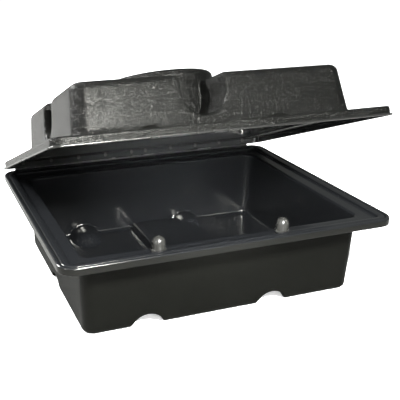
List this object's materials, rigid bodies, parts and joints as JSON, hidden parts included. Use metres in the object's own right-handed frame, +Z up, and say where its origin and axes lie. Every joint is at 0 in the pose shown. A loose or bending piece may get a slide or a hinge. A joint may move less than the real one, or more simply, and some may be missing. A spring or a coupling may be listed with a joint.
{
  "type": "battery box",
  "caption": "Open battery box: a formed black plastic tray with a rolled rim, and a deep ribbed lid with a round tower, hinged along the back.",
  "frame": {"origin": "on the ground, at the middle of the whole box seen from above, hinge barrels included", "axes": "+Z up, +X to the right as seen from the front, -Y the front, where the lid opens; the hinges are at +Y"},
  "size_m": [0.6, 0.5004, 0.3983],
  "materials": {
    "tray_sheet": "black formed plastic sheet, fine grain outside, smooth and glossy inside",
    "lid_sheet": "black formed plastic sheet with a coarse leather grain",
    "post_plastic": "moulded black plastic, glossy",
    "screw_steel": "zinc-plated steel",
    "hinge_steel": "black coated steel",
    "rivet_black": "black painted aluminium"
  },
  "bodies": {
    "tray": {"tray": "tray_sheet", "post_left": "post_plastic", "post_right": "post_plastic", "post_screw_left": "screw_steel", "post_screw_right": "screw_steel", "hinge_left_tray_leaf": "hinge_steel", "hinge_left_pin": "hinge_steel", "hinge_left_tray_rivets": "rivet_black", "hinge_right_tray_leaf": "hinge_steel", "hinge_right_pin": "hinge_steel", "hinge_right_tray_rivets": "rivet_black"},
    "lid": {"lid": "lid_sheet", "hinge_left_lid_leaf": "hinge_steel", "hinge_left_lid_rivets": "rivet_black", "hinge_right_lid_leaf": "hinge_steel", "hinge_right_lid_rivets": "rivet_black"}
  },
  "joints": [
    {"name": "lid_hinge", "type": "hinge", "parent": "tray", "child": "lid", "pos_m": [0, 0.2452, 0.15], "axis": [-1, 0, 0], "range_deg": [-21, 84]}
  ]
}
